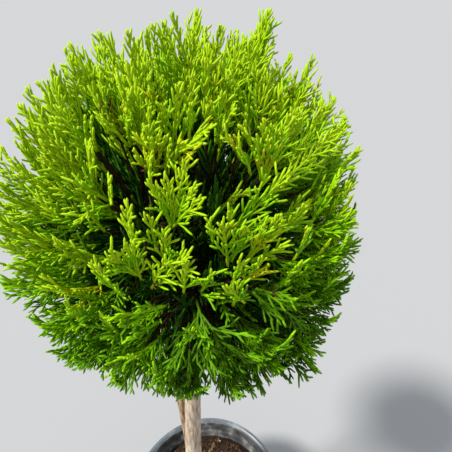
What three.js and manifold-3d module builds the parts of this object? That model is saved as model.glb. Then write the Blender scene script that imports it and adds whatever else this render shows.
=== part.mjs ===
// A conifer grown as a lollipop standard: a clear trunk with a second stem beside it, a clipped ball of
// feathery sprays on short boughs, and the nursery pot that it stands in, filled with potting compost.
// Millimetres, +Z up, the origin at the centre of the pot's underside. The front faces -Y.

import * as THREE from "three";
import { mergeVertices } from "three/addons/utils/BufferGeometryUtils.js";
import Module from "manifold-3d";

const wasm = await Module();
wasm.setup();

const GOLDEN_ANGLE = Math.PI * (3 - Math.sqrt(5));
const CLEARANCE = 0.3; // between two pieces that touch
const SLIVER = 0.02; // edges shorter than this, left by joining, are closed up

// Pot
const POT_HEIGHT = 225;
const POT_RIM_RADIUS = 140;
const POT_BASE_RADIUS = 103;
const POT_WALL = 2.4;
const POT_FLOOR = 3;
const POT_FACETS = 36;
const COLLAR_HEIGHT = 30; // the straight band under the rim
const COLLAR_RADIUS = 131.5;
const COLLAR_STEP = 3; // how far the band stands out from the tapered wall
const LIP_DROP = 12;
const LIP_THICKNESS = 2.4;
const LIP_ROUNDING = 2; // at the outer edge of the rolled lip
const LIP_TOP = 6; // how far the lip's flat top reaches inwards
const BASE_CHAMFER = 3;
const DRAIN_COUNT = 8;
const DRAIN_RADIUS = 7;
const DRAIN_CIRCLE = 80;

// Compost
const SOIL_DEPTH = 37; // from the rim down to the compost
const SOIL_FLAT = 42; // radius of the level place that the trunk stands on
const SOIL_CROWN = 3; // how far the compost is heaped up around that place
const SOIL_EDGE_DROP = 4; // how much lower it lies against the pot
const SOIL_EDGE_WIDTH = 14;
const LUMP_COUNT = 9;
const LUMP_SIZE = [3.5, 7.5];
const LUMP_ROOM = 14; // between the lumps and the level place
const LUMP_TURN = 0.4; // how unevenly the lumps are spread round the pot, in radians
const LUMP_UNEVENNESS = 0.2;
const LUMP_FLATNESS = 0.8;
const LUMP_SHOWING = 0.3; // how far a lump's middle lies above the compost, as a share of its size

// Trunk and second stem
const SOIL_TOP = POT_HEIGHT - SOIL_DEPTH;
const TRUNK_FOOT = SOIL_TOP + CLEARANCE; // the flat cut
const CUT = 5; // how far a path runs on past the flat cut at its end
// Each point of these paths has its place and the limb's radius there.
const TRUNK_PATH = [
  [-17, 0, TRUNK_FOOT - CUT, 16.5],
  [-18, -1, 260, 13.8],
  [-17, 0, 379, 12.4],
  [-11, 1, 520, 10.8],
  [-5, 0, 660, 9.6],
  [-2, 0, 758, 8.2],
];
const TRUNK_TIP_RADIUS = 6;
const TRUNK_FACETS = [10, 22]; // round the trunk and along it
const ROOT_FLARE = 5;
const ROOT_FLARE_HEIGHT = 26;
const FLARE_LOBES = 3;
const FLARE_LOBE_DEPTH = 0.4; // of the flare
const FLARE_TURN = 0.7; // radians
const STEM_PATH = [
  [-21, 4, 222, 7.4],
  [-25, 15, 300, 6.8],
  [-27, 18, 400, 6.4],
  [-32, 19, 503, 6],
  [-39, 20, 640, 5.5],
  [-42, 19, 700, 5.1],
  [-44, 15, 745, 4.5],
];
const STEM_TIP_RADIUS = 3.9;
const STEM_FACETS = [7, 32];
const LIMB_POINTS = 90; // along each limb, for keeping foliage off it

// Crown
const CROWN_CENTRE = new THREE.Vector3(0, 0, 806);
const CROWN_ACROSS = 147; // from the centre to the outline at the sides
const CROWN_UP = 157; // and to the outline at the top
const FOCUS = new THREE.Vector3(-2, 0, 758); // the fork that boughs and sprays spread from
const RINGS = [
  { name: "top", count: 1, polar: 0 },
  { name: "upper", count: 5, polar: 38 },
  { name: "middle", count: 6, polar: 72 },
  { name: "lower", count: 6, polar: 106 },
];
const RING_UNEVENNESS = 0.1; // of the step between two masses of a ring
const POLAR_UNEVENNESS = 3; // degrees
const STEM_MASS = "middle_3"; // the mass that the second stem carries
const FOOT_DISTANCE = 42; // from the fork to each mass's foot
const STEM_FOOT_DISTANCE = 52; // the same for the mass on the second stem
const CORE_SHARE = 0.54; // of the way from the fork to the outline, where a mass's core sits
const CORE_SIZE = 0.27; // core radius, as a share of that distance
const CORE_LUMPS = 0.12;
const CELL_GAP = 0.5; // between a mass and the plane that parts it from the next
const BOUGH_RISE = 30; // how far below its mass's foot a bough leaves the trunk
const BOUGH_RADIUS = 3.8;
const BOUGH_TIP_RADIUS = 3.2;
const BOUGH_STAGGER = 5; // how far neighbouring boughs leave the trunk above and below that
const BOUGH_BEND = 0.45; // where a bough bends, as a share of the foot's distance from the fork
const BOUGH_FACETS = [6, 4];
const FOOT_RADIUS = 3.6; // of the stem inside each mass
const FOOT_FACETS = [5, 1];
const SPRAY_COUNT = 196;
const SPRAY_TURN = 0.12; // how unevenly the sprays are spread round the crown, in radians
const REACH_LONGEST = 1.05; // the longest sprays pass the outline by this much
const REACH_SPREAD = 0.17; // and the shortest stay this much behind those
const REACH_BIAS = 1.5; // how much commoner the long ones are
// The long shoots that stand clear of the ball in the photograph, from the crown's centre
const LONG_SHOOTS = [
  [63, -11, 161],
  [-66, -24, 143],
  [94, -13, 134],
  [120, -23, 96],
  [101, -121, -56],
  [62, -124, -78],
];
const SHOOT_REACH = 1.16; // nothing reaches further than this
const SAG = 0.07; // how far the middle of a spray is lifted or dropped, as a share of its length
const SAG_HEIGHT = 60; // the sprays this far below the crown's centre are straight
const SPINE_ROOT = 0.5; // of the core's radius, where a spray starts inside it
const SPINE_BARE = 0.45; // of the core's radius, before the first side twigs
const SPINE_TAPER = 0.6;
const SPINE_POINT = 0.18; // of the twiggy length, at the tip of a spray
const SPINE_WIDTH = 2.6; // from the middle of a spray to the foot of its side twigs, larger than life
const SPINE_THICKNESS = 1.9;
const SPINE_CLEAR = 5; // between the spines of two sprays
const SPINE_LINE = 0.35; // where the straight line that stands for a spine starts on it
const TWIG_STRETCH = 17; // the length of spine that each pair of side twigs takes up
const TWIG_PAIRS = [2, 5]; // the fewest and the most on a spray
const TWIG_ANGLE = 35;
const TWIG_UNEVENNESS = 4; // degrees
const TWIG_LIFT = 0.15; // how far it strays from the spray's own plane
const TWIG_LENGTH = [37.4, 11.9]; // at the foot of a spray and at its tip
const TWIG_LENGTH_UNEVENNESS = 0.12;
const TWIG_CLEAR = 2.6; // between the middle lines of two side twigs
const TWIG_CHECKS = 6; // the points along it that have to be free
const SHORTER = [1, 0.75, 0.5, 0.3]; // the lengths that a side twig tries in turn
const BUD = 0.8; // what is left of a side twig that fits nowhere
const TRUNK_KEEP_OFF = 2.5; // between foliage and the trunk or second stem

// One seeded sequence, so that every run grows the same plant.
let seed = 20467;
function random() {
  seed = (seed * 16807) % 2147483647;
  return seed / 2147483647;
}
const spread = (amount) => (random() * 2 - 1) * amount;

// A closed geometry as a solid that can be joined and cut.
function solid(geometry) {
  const bare = geometry.index ? geometry.toNonIndexed() : geometry.clone();
  bare.deleteAttribute("normal");
  bare.deleteAttribute("uv");
  const merged = mergeVertices(bare, 1e-4);
  const corners = merged.index.array;
  const faces = [];
  for (let i = 0; i < corners.length; i += 3) {
    const [a, b, c] = corners.slice(i, i + 3);
    if (a !== b && b !== c && c !== a) faces.push(a, b, c);
  }
  return new wasm.Manifold(
    new wasm.Mesh({
      numProp: 3,
      vertProperties: merged.attributes.position.array,
      triVerts: new Uint32Array(faces),
    }),
  );
}

// A solid as a mesh of the scene graph.
function node(name, made, material) {
  const { numVert, numProp, vertProperties, triVerts } = made.simplify(SLIVER).getMesh();
  const points = new Float32Array(numVert * 3);
  for (let i = 0; i < numVert; i++)
    points.set(vertProperties.subarray(i * numProp, i * numProp + 3), i * 3);
  const geometry = new THREE.BufferGeometry();
  geometry.setAttribute("position", new THREE.BufferAttribute(points, 3));
  geometry.setIndex(new THREE.BufferAttribute(triVerts, 1));
  geometry.computeVertexNormals();
  const mesh = new THREE.Mesh(geometry, material);
  mesh.name = name;
  return mesh;
}

// A smooth curve through the places of a path.
function curveThrough(path) {
  return new THREE.CatmullRomCurve3(path.map(([x, y, z]) => new THREE.Vector3(x, y, z)));
}

// A solid of revolution about Z. Its profile of [radius, height] points starts and ends on the axis.
function turned(profile, facets) {
  const points = profile.map(([radius, height]) => new THREE.Vector2(radius, height));
  const geometry = new THREE.LatheGeometry(points, facets);
  geometry.rotateX(Math.PI / 2);
  return solid(geometry);
}

// A cylinder wrapped round a curve. radiusAt gives the radius for a share of the length and an angle.
function limb(curve, radiusAt, sides, steps) {
  const geometry = new THREE.CylinderGeometry(1, 1, 1, sides, steps);
  const frames = curve.computeFrenetFrames(steps);
  const place = geometry.getAttribute("position");
  for (let i = 0; i < place.count; i++) {
    const step = Math.round((place.getY(i) + 0.5) * steps);
    const x = place.getX(i);
    const z = place.getZ(i);
    const angle = Math.atan2(z, x);
    const out = Math.hypot(x, z) < 1e-6 ? 0 : radiusAt(step / steps, angle);
    const at = curve
      .getPointAt(step / steps)
      .addScaledVector(frames.binormals[step], out * Math.cos(angle))
      .addScaledVector(frames.normals[step], out * Math.sin(angle));
    place.setXYZ(i, at.x, at.y, at.z);
  }
  return solid(geometry);
}

// The radius at a height, between the points of a path that rises all the way.
function radiusAtHeight(path, height) {
  const above = Math.max(1, path.findIndex((point) => point[2] >= height));
  const [low, high] = [path[above - 1], path[above]];
  const share = THREE.MathUtils.clamp((height - low[2]) / (high[2] - low[2]), 0, 1);
  return THREE.MathUtils.lerp(low[3], high[3], share);
}

function makePot() {
  const top = POT_HEIGHT;
  const collarFoot = top - COLLAR_HEIGHT;
  const wallTop = COLLAR_RADIUS - COLLAR_STEP;
  const lipInner = POT_RIM_RADIUS - LIP_THICKNESS;
  const underLip = top - LIP_THICKNESS * 2;
  const shell = turned(
    [
      [0, 0],
      [POT_BASE_RADIUS - BASE_CHAMFER, 0],
      [POT_BASE_RADIUS, BASE_CHAMFER],
      [wallTop, collarFoot],
      [COLLAR_RADIUS, collarFoot + COLLAR_STEP],
      [COLLAR_RADIUS, underLip],
      [lipInner, underLip],
      [lipInner, top - LIP_DROP],
      [POT_RIM_RADIUS, top - LIP_DROP],
      [POT_RIM_RADIUS, top - LIP_ROUNDING],
      [POT_RIM_RADIUS - LIP_ROUNDING, top],
      [POT_RIM_RADIUS - LIP_TOP, top],
      [COLLAR_RADIUS - POT_WALL, top - LIP_ROUNDING * 2],
      [COLLAR_RADIUS - POT_WALL, collarFoot + COLLAR_STEP + POT_WALL],
      [wallTop - POT_WALL, collarFoot],
      [POT_BASE_RADIUS - POT_WALL, POT_FLOOR],
      [0, POT_FLOOR],
    ],
    POT_FACETS,
  );
  const drains = [];
  for (let i = 0; i < DRAIN_COUNT; i++) {
    const hole = new THREE.CylinderGeometry(DRAIN_RADIUS, DRAIN_RADIUS, POT_FLOOR * 3, 8);
    const angle = ((i + 0.5) / DRAIN_COUNT) * 2 * Math.PI;
    hole.rotateX(Math.PI / 2);
    hole.translate(DRAIN_CIRCLE * Math.cos(angle), DRAIN_CIRCLE * Math.sin(angle), 0);
    drains.push(solid(hole));
  }
  return shell.subtract(wasm.Manifold.union(drains));
}

// The radius of the pot's inside wall at a height below the collar.
function potInside(height) {
  const low = POT_BASE_RADIUS - POT_WALL;
  const high = COLLAR_RADIUS - COLLAR_STEP - POT_WALL;
  const share = (height - POT_FLOOR) / (POT_HEIGHT - COLLAR_HEIGHT - POT_FLOOR);
  return THREE.MathUtils.lerp(low, high, share);
}

function makeSoil() {
  const floor = POT_FLOOR + CLEARANCE;
  const edge = SOIL_TOP - SOIL_EDGE_DROP;
  const rim = potInside(edge) - CLEARANCE;
  const fill = turned(
    [
      [0, floor],
      [potInside(floor) - CLEARANCE, floor],
      [rim, edge],
      [rim - SOIL_EDGE_WIDTH, SOIL_TOP],
      [(rim + SOIL_FLAT) / 2, SOIL_TOP + SOIL_CROWN],
      [SOIL_FLAT, SOIL_TOP],
      [0, SOIL_TOP],
    ],
    POT_FACETS,
  );
  const lumps = [fill];
  for (let i = 0; i < LUMP_COUNT; i++) {
    const size = THREE.MathUtils.lerp(...LUMP_SIZE, random());
    const inner = SOIL_FLAT + LUMP_ROOM;
    const outer = rim - SOIL_EDGE_WIDTH - LUMP_SIZE[1];
    const distance = THREE.MathUtils.lerp(inner, outer, Math.sqrt((i + random()) / LUMP_COUNT));
    const angle = i * GOLDEN_ANGLE + spread(LUMP_TURN);
    const lump = new THREE.IcosahedronGeometry(size, 0);
    lump.scale(1 + spread(LUMP_UNEVENNESS), 1 + spread(LUMP_UNEVENNESS), LUMP_FLATNESS);
    const height = SOIL_TOP + LUMP_SHOWING * size;
    lump.translate(distance * Math.cos(angle), distance * Math.sin(angle), height);
    lumps.push(solid(lump));
  }
  return wasm.Manifold.union(lumps);
}

// The directions, from the fork, of the crown's masses, named ring by ring.
function massDirections() {
  const found = [];
  for (const ring of RINGS)
    for (let i = 0; i < ring.count; i++) {
      const turn = (i + ring.polar / 90 + spread(RING_UNEVENNESS)) * ((2 * Math.PI) / ring.count);
      const tilt = ring.polar + (ring.count > 1 ? spread(POLAR_UNEVENNESS) : 0);
      const polar = THREE.MathUtils.degToRad(tilt);
      found.push({
        name: ring.count > 1 ? `${ring.name}_${i + 1}` : ring.name,
        to: new THREE.Vector3(Math.cos(turn), Math.sin(turn), 0)
          .multiplyScalar(Math.sin(polar))
          .setZ(Math.cos(polar)),
      });
    }
  return found;
}

// How far the crown's outline lies from the fork in a direction.
function outlineFrom(to) {
  const scale = new THREE.Vector3(1 / CROWN_ACROSS, 1 / CROWN_ACROSS, 1 / CROWN_UP);
  const way = to.clone().multiply(scale);
  const start = FOCUS.clone().sub(CROWN_CENTRE).multiply(scale);
  const a = way.lengthSq();
  const b = way.dot(start);
  return (-b + Math.sqrt(b * b - a * (start.lengthSq() - 1))) / a;
}

// The least distance by which a point keeps inside a mass's own cell, between planes through the fork.
function insideCell(mass, point) {
  const from = point.clone().sub(FOCUS);
  return Math.min(...mass.walls.map((wall) => wall.dot(from))) - CELL_GAP;
}

// A point moved until it is at least a margin inside the mass's cell.
function keptInCell(mass, point, margin) {
  const kept = point.clone();
  for (let round = 0; round < 3; round++)
    for (const wall of mass.walls) {
      const short = margin + CELL_GAP - wall.dot(kept.clone().sub(FOCUS));
      if (short > 0) kept.addScaledVector(wall, short);
    }
  return kept;
}

// How far out a point lies, as a share of the crown's outline.
function shareOfOutline(point) {
  const from = point.clone().sub(CROWN_CENTRE);
  return Math.hypot(from.x / CROWN_ACROSS, from.y / CROWN_ACROSS, from.z / CROWN_UP);
}

// Whether a straight twig keeps to its mass's cell and the crown's reach, clear of limbs and other twigs.
function twigFits(mass, limbs, others, twig, clear) {
  for (let i = 1; i <= TWIG_CHECKS; i++) {
    const point = twig.at(i / TWIG_CHECKS, new THREE.Vector3());
    if (insideCell(mass, point) < SPINE_WIDTH / 2 || shareOfOutline(point) > SHOOT_REACH) return false;
    for (const limbPoint of limbs)
      if (point.distanceTo(limbPoint.at) < limbPoint.radius + TRUNK_KEEP_OFF) return false;
  }
  return others.every((other) => twig.distanceSqToLine3(other) > clear * clear);
}

// A mass's core: a lumpy ball pulled in where it would leave the cell.
function makeCore(mass) {
  const ball = new THREE.IcosahedronGeometry(mass.coreRadius, 1);
  const merged = mergeVertices(ball.deleteAttribute("normal").deleteAttribute("uv"), 1e-4);
  const place = merged.getAttribute("position");
  for (let i = 0; i < place.count; i++) {
    const point = new THREE.Vector3().fromBufferAttribute(place, i);
    point.multiplyScalar(1 + spread(CORE_LUMPS)).add(mass.core);
    const kept = keptInCell(mass, point, 1);
    place.setXYZ(i, kept.x, kept.y, kept.z);
  }
  return solid(merged);
}

// The spine of a spray: a curve from inside the core to its tip, drooping low on the crown and lifted high up.
function makeSpine(mass, tip) {
  const outward = tip.clone().sub(mass.core).normalize();
  const root = mass.core.clone().addScaledVector(outward, mass.coreRadius * SPINE_ROOT);
  const low = THREE.MathUtils.clamp((CROWN_CENTRE.z - SAG_HEIGHT - tip.z) / SAG_HEIGHT, -1, 1);
  const lift = new THREE.Vector3(0, 0, 1).projectOnPlane(outward);
  lift.multiplyScalar(low * SAG * root.distanceTo(tip));
  const middle = keptInCell(mass, root.clone().lerp(tip, 0.5).add(lift), SPINE_WIDTH);
  const bend = middle.clone().multiplyScalar(2).addScaledVector(root.clone().add(tip), -0.5);
  return new THREE.QuadraticBezierCurve3(root, bend, tip);
}

// The outer half of a spine as a straight line.
const spineLine = (spine) => new THREE.Line3(spine.getPointAt(SPINE_LINE), spine.getPointAt(1));

// A spray: a four-sided spine pointed at both ends, with a side twig drawn out of both edges of each
// stretch between two of its rings. Each ring has a left, upper, right and lower corner.
function makeSpray(mass, limbs, others, spine) {
  const length = spine.getLength();
  const bare = (mass.coreRadius * SPINE_BARE) / length;
  const twiggy = (1 - bare) * (1 - SPINE_POINT);
  const pairs = THREE.MathUtils.clamp(Math.round((length * twiggy) / TWIG_STRETCH), ...TWIG_PAIRS);
  const shares = Array.from({ length: pairs + 1 }, (_, i) => bare + (twiggy * i) / pairs);
  const outward = spine.getTangentAt(0);
  const plane = new THREE.Vector3(spread(1), spread(1), spread(1)).projectOnPlane(outward).normalize();
  const across = (share) => plane.clone().projectOnPlane(spine.getTangentAt(share)).normalize();
  const upward = (share) => new THREE.Vector3().crossVectors(across(share), spine.getTangentAt(share));
  const points = [spine.getPointAt(0), spine.getPointAt(1)];
  const faces = [];
  const corner = (ring, side) => 2 + ring * 4 + (side % 4);
  for (const share of shares) {
    const size = 1 - SPINE_TAPER * share;
    for (const [wide, high] of [[-1, 0], [0, 1], [1, 0], [0, -1]])
      points.push(
        spine
          .getPointAt(share)
          .addScaledVector(across(share), wide * SPINE_WIDTH * size)
          .addScaledVector(upward(share), high * SPINE_THICKNESS * size),
      );
  }
  for (let side = 0; side < 4; side++) {
    faces.push(0, corner(0, side + 1), corner(0, side));
    faces.push(1, corner(pairs, side), corner(pairs, side + 1));
  }
  for (let ring = 0; ring < pairs; ring++)
    for (const left of [true, false]) {
      const share = (shares[ring] + shares[ring + 1]) / 2;
      const out = across(share).multiplyScalar(left ? -1 : 1);
      const foot = spine.getPointAt(share).addScaledVector(out, SPINE_WIDTH * (1 - SPINE_TAPER * share));
      const angle = THREE.MathUtils.degToRad(TWIG_ANGLE + spread(TWIG_UNEVENNESS));
      const way = spine.getTangentAt(share).multiplyScalar(Math.cos(angle));
      way.addScaledVector(out, Math.sin(angle)).addScaledVector(upward(share), spread(TWIG_LIFT));
      const full = THREE.MathUtils.lerp(...TWIG_LENGTH, share) * (1 + spread(TWIG_LENGTH_UNEVENNESS));
      const end = (part) => foot.clone().addScaledVector(way, full * part);
      const twigs = SHORTER.map((part) => new THREE.Line3(foot, end(part)));
      const twig = twigs.find((one) => twigFits(mass, limbs, others, one, TWIG_CLEAR));
      if (twig) mass.twigs.push(twig);
      points.push(twig ? twig.end : foot.clone().addScaledVector(out, BUD));
      const edge = left ? 4 : 2;
      const sides = [edge - 1, edge, edge + 1];
      const loop = [
        ...sides.map((side) => corner(ring, side)),
        ...sides.reverse().map((side) => corner(ring + 1, side)),
      ];
      loop.forEach((from, i) => faces.push(points.length - 1, from, loop[(i + 1) % loop.length]));
    }
  const geometry = new THREE.BufferGeometry().setFromPoints(points);
  geometry.setIndex(faces);
  return solid(geometry);
}

// The tips that the sprays reach for: the long shoots, then others spread evenly over the crown's outline.
function sprayTips() {
  const tips = LONG_SHOOTS.map((from) => new THREE.Vector3(...from).add(CROWN_CENTRE));
  for (let i = 0; i < SPRAY_COUNT; i++) {
    const height = 1 - (2 * (i + 0.5)) / SPRAY_COUNT;
    const turn = i * GOLDEN_ANGLE + spread(SPRAY_TURN);
    const reach = REACH_LONGEST - REACH_SPREAD * random() ** REACH_BIAS;
    const tip = new THREE.Vector3(Math.cos(turn), Math.sin(turn), 0)
      .multiplyScalar(Math.sqrt(1 - height * height))
      .setZ(height)
      .multiply(new THREE.Vector3(CROWN_ACROSS, CROWN_ACROSS, CROWN_UP));
    tips.push(tip.multiplyScalar(reach).add(CROWN_CENTRE));
  }
  return tips;
}

const masses = massDirections();
for (const mass of masses) {
  mass.walls = masses
    .filter((other) => other !== mass)
    .map((other) => mass.to.clone().sub(other.to).normalize());
  const reach = mass.name === STEM_MASS ? STEM_FOOT_DISTANCE : FOOT_DISTANCE;
  mass.foot = FOCUS.clone().addScaledVector(mass.to, reach);
  mass.coreDistance = CORE_SHARE * outlineFrom(mass.to);
  mass.coreRadius = CORE_SIZE * mass.coreDistance;
  mass.core = FOCUS.clone().addScaledVector(mass.to, mass.coreDistance);
  mass.tips = [];
}
for (const tip of sprayTips()) {
  const way = tip.clone().sub(FOCUS).normalize();
  masses.reduce((best, mass) => (mass.to.dot(way) > best.to.dot(way) ? mass : best)).tips.push(tip);
}

// Trunk, from a flat cut on the compost to the foot of the top mass.
const topMass = masses[0];
const trunkPath = pathToFoot(TRUNK_PATH, topMass, TRUNK_TIP_RADIUS);
const trunkCurve = curveThrough(trunkPath);
function trunkRadius(share, angle) {
  const height = trunkCurve.getPointAt(share).z;
  const flare = Math.max(0, 1 - (height - TRUNK_FOOT) / ROOT_FLARE_HEIGHT);
  const lobes = 1 - FLARE_LOBE_DEPTH + FLARE_LOBE_DEPTH * Math.cos(FLARE_LOBES * angle + FLARE_TURN);
  return radiusAtHeight(trunkPath, height) + ROOT_FLARE * flare * flare * lobes;
}

// The second stem leaves the trunk low down and carries one mass of its own.
const stemMass = masses.find((mass) => mass.name === STEM_MASS);
const stemPath = pathToFoot(STEM_PATH, stemMass, STEM_TIP_RADIUS);
const stemCurve = curveThrough(stemPath);
const stemRadius = (share) => radiusAtHeight(stemPath, stemCurve.getPointAt(share).z);

// A bough's curve: up and out of the trunk, then along the direction of the mass that it carries.
function boughCurve(mass, index) {
  const rise = mass.foot.z - FOCUS.z - BOUGH_RISE + (index % 2 ? BOUGH_STAGGER : -BOUGH_STAGGER);
  const start = new THREE.Vector3(FOCUS.x, FOCUS.y, FOCUS.z + rise);
  const end = mass.foot.clone().addScaledVector(mass.to, -CLEARANCE);
  const bend = end.clone().addScaledVector(mass.to, -BOUGH_BEND * FOOT_DISTANCE);
  return new THREE.QuadraticBezierCurve3(start, bend, end);
}

// A path led on through a mass's foot and a little past it.
function pathToFoot(path, mass, radius) {
  const past = mass.foot.clone().addScaledVector(mass.to, CUT);
  return [...path, [...mass.foot.toArray(), radius], [...past.toArray(), radius]];
}

// A limb cut square to a mass, a little short of the mass's foot.
function cutAtFoot(made, mass) {
  const away = mass.to.clone().negate();
  return made.trimByPlane(away.toArray(), away.dot(mass.foot) + CLEARANCE);
}

// A mass: its core, the stem that meets its bough, and its sprays, joined into one solid.
function makeMass(mass, limbs) {
  const stem = new THREE.LineCurve3(mass.foot, mass.core);
  const pieces = [makeCore(mass), limb(stem, () => FOOT_RADIUS, ...FOOT_FACETS)];
  const spines = [];
  for (const tip of mass.tips) {
    const spine = makeSpine(mass, keptInCell(mass, tip, SPINE_WIDTH));
    const line = spineLine(spine);
    if (twigFits(mass, limbs, spines.map(spineLine), line, SPINE_CLEAR)) spines.push(spine);
  }
  mass.twigs = [];
  for (const spine of spines) {
    const others = [...mass.twigs, ...spines.filter((one) => one !== spine).map(spineLine)];
    pieces.push(makeSpray(mass, limbs, others, spine));
  }
  const bodies = wasm.Manifold.union(pieces).decompose();
  return bodies.reduce((best, body) => (body.volume() > best.volume() ? body : best));
}

// Points along a limb's axis with its radius there, for keeping foliage off it.
function limbPoints(curve, radiusAt) {
  return Array.from({ length: LIMB_POINTS + 1 }, (_, i) => ({
    at: curve.getPointAt(i / LIMB_POINTS),
    radius: radiusAt(i / LIMB_POINTS),
  }));
}

const bark = new THREE.MeshStandardMaterial({ color: 0xa98f74, roughness: 0.85, metalness: 0 });
const boughBark = new THREE.MeshStandardMaterial({ color: 0x6e5038, roughness: 0.9, metalness: 0 });
const foliage = new THREE.MeshStandardMaterial({ color: 0x6fa512, roughness: 0.6, metalness: 0 });
const potPlastic = new THREE.MeshStandardMaterial({ color: 0x2c2f33, roughness: 0.5, metalness: 0 });
const compost = new THREE.MeshStandardMaterial({ color: 0x4a3526, roughness: 1, metalness: 0 });

const standard = new THREE.Group();
standard.add(node("pot", makePot(), potPlastic));
standard.add(node("soil", makeSoil(), compost));

const trunkAll = limb(trunkCurve, trunkRadius, ...TRUNK_FACETS).trimByPlane([0, 0, 1], TRUNK_FOOT);
const trunk = cutAtFoot(trunkAll, topMass);
const roomRound = (radiusAt) => (share, angle) => radiusAt(share, angle) + CLEARANCE;
const trunkSpace = limb(trunkCurve, roomRound(trunkRadius), ...TRUNK_FACETS);
standard.add(node("trunk", trunk, bark));

const stemAll = limb(stemCurve, stemRadius, ...STEM_FACETS).subtract(trunkSpace);
const secondStem = cutAtFoot(stemAll, stemMass);
const stemSpace = limb(stemCurve, roomRound(stemRadius), ...STEM_FACETS);
standard.add(node("second_stem", secondStem, bark));

masses.forEach((mass, index) => {
  if (mass === topMass || mass === stemMass) return;
  const radius = (t) => THREE.MathUtils.lerp(BOUGH_RADIUS, BOUGH_TIP_RADIUS, t);
  const whole = limb(boughCurve(mass, index), radius, ...BOUGH_FACETS);
  const bough = whole.subtract(trunkSpace).subtract(stemSpace);
  standard.add(node(`bough_${mass.name}`, bough, boughBark));
});

const limbs = [
  ...limbPoints(trunkCurve, (share) => trunkRadius(share, 0)),
  ...limbPoints(stemCurve, stemRadius),
];
for (const mass of masses) standard.add(node(`foliage_${mass.name}`, makeMass(mass, limbs), foliage));

export default standard;
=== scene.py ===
"""A conifer grown as a lollipop standard, in its nursery pot.

Sprays, twigs, bark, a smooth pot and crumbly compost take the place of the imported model's solids.
Sizes are in millimetres, as in the part's source, and become metres where a mesh is made.
"""

import math

import bmesh
import bpy
import numpy as np
from mathutils import Matrix, Vector, noise


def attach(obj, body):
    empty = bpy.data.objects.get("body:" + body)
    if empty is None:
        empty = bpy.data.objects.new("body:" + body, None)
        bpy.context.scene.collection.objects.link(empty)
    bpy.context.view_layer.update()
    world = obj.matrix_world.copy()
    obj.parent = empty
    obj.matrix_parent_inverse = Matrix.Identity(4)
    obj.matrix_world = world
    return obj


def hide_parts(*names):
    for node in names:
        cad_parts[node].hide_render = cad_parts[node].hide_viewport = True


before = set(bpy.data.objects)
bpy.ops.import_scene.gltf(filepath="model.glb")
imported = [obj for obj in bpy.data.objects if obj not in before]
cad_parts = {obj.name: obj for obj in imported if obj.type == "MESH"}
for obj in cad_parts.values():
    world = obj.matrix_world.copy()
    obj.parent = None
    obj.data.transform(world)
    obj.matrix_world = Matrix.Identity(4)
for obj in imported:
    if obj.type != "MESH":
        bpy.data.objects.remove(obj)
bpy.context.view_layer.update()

MM = 0.001

CROWN_SEED = 20467  # as in the part's source
EXTRA_SEED = 3301
LITTER_SEED = 911

# Camera, in the pot's frame
CAMERA_AT = (0.034, -0.268, 0.962)
CAMERA_DOWN = 31.66  # degrees below level
CAMERA_LENS = 27.08

# Pot and compost
POT_HEIGHT = 225
POT_RIM_RADIUS = 140
POT_BASE_RADIUS = 103
POT_WALL = 2.4
POT_FLOOR = 3
COLLAR_HEIGHT = 30
COLLAR_RADIUS = 131.5
COLLAR_STEP = 3
LIP_DROP = 12
LIP_THICKNESS = 2.4
LIP_ROUNDING = 2
LIP_TOP = 6
BASE_CHAMFER = 3
DRAIN_COUNT = 8
DRAIN_RADIUS = 7
DRAIN_CIRCLE = 80
POT_ROUNDING = 1.6
POT_SIDES = 120
CLEARANCE = 0.3
SOIL_TOP = 188
SOIL_FLAT = 42
SOIL_LEVEL = SOIL_TOP - 1  # under the crumbs
SOIL_RADIUS = 123.2
SOIL_EDGE = 120  # of its even part
SOIL_RINGS = 56
SOIL_SIDES = 160
HEAP_HEIGHT = 3
HEAP_RISE = 35  # how far outwards it takes to rise
HEAP_FALL = 30
WALL_SINK = 3
WALL_SINK_FROM = 118
# Roughness of the compost: height, waves per millimetre and place in the noise
SOIL_ROUGHNESS = [(1.6, 0.06, 2), (1.1, 0.22, 5), (0.9, 0.6, 9)]

# Small lumps that lie on the compost: stretch, unevenness and subdivisions of each kind
LUMPS = {
    "crumb": ((1, 0.8, 0.65), 0.45, 1),
    "chip": ((1.9, 0.75, 0.28), 0.45, 1),
    "stone": ((1.15, 0.85, 0.7), 0.16, 2),
}
LUMP_SHAPES = 12  # of each kind
LUMP_TILT = 0.4
LITTER_RADIUS = 117
TRUNK_ROOM = 21

# From the darkest to the dustiest
POT_COLOURS = [(0.012, 0.013, 0.015), (0.022, 0.024, 0.027), (0.075, 0.072, 0.066)]
# The lip's lighter, bluer greys are wear together with a painted reflection of the sky
LIP_WEAR_AND_SHEEN_COLOURS = [(0.043, 0.056, 0.070), (0.084, 0.104, 0.124), (0.21, 0.235, 0.255)]
INSIDE_COLOURS = [(0.023, 0.025, 0.028), (0.072, 0.075, 0.080), (0.28, 0.275, 0.265)]

# Trunk and second stem: place and radius at each point
TRUNK_FOOT = SOIL_TOP + CLEARANCE
CUT = 5
TRUNK_PATH = [
    (-17, 0, TRUNK_FOOT - CUT, 16.5),
    (-18, -1, 260, 13.8),
    (-17, 0, 379, 12.4),
    (-11, 1, 520, 10.8),
    (-5, 0, 660, 9.6),
    (-2, 0, 758, 8.2),
]
TRUNK_TIP_RADIUS = 6
TRUNK_RINGS = 220
TRUNK_SIDES = 44
ROOT_FLARE = 5
ROOT_FLARE_HEIGHT = 26
STEM_PATH = [
    (-21, 4, 222, 7.4),
    (-25, 15, 300, 6.8),
    (-27, 18, 400, 6.4),
    (-32, 19, 503, 6),
    (-39, 20, 640, 5.5),
    (-42, 19, 700, 5.1),
    (-44, 15, 745, 4.5),
]
STEM_TIP_RADIUS = 3.9
STEM_RINGS = 160
STEM_SIDES = 30
# Relief of the bark: its place in the noise, and its depth as a share of the limb's radius
TRUNK_RELIEF = (3.1, 0.09)
STEM_RELIEF = (8.4, 0.08)
BOUGH_RELIEF = (2.3, 0.12)

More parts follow.
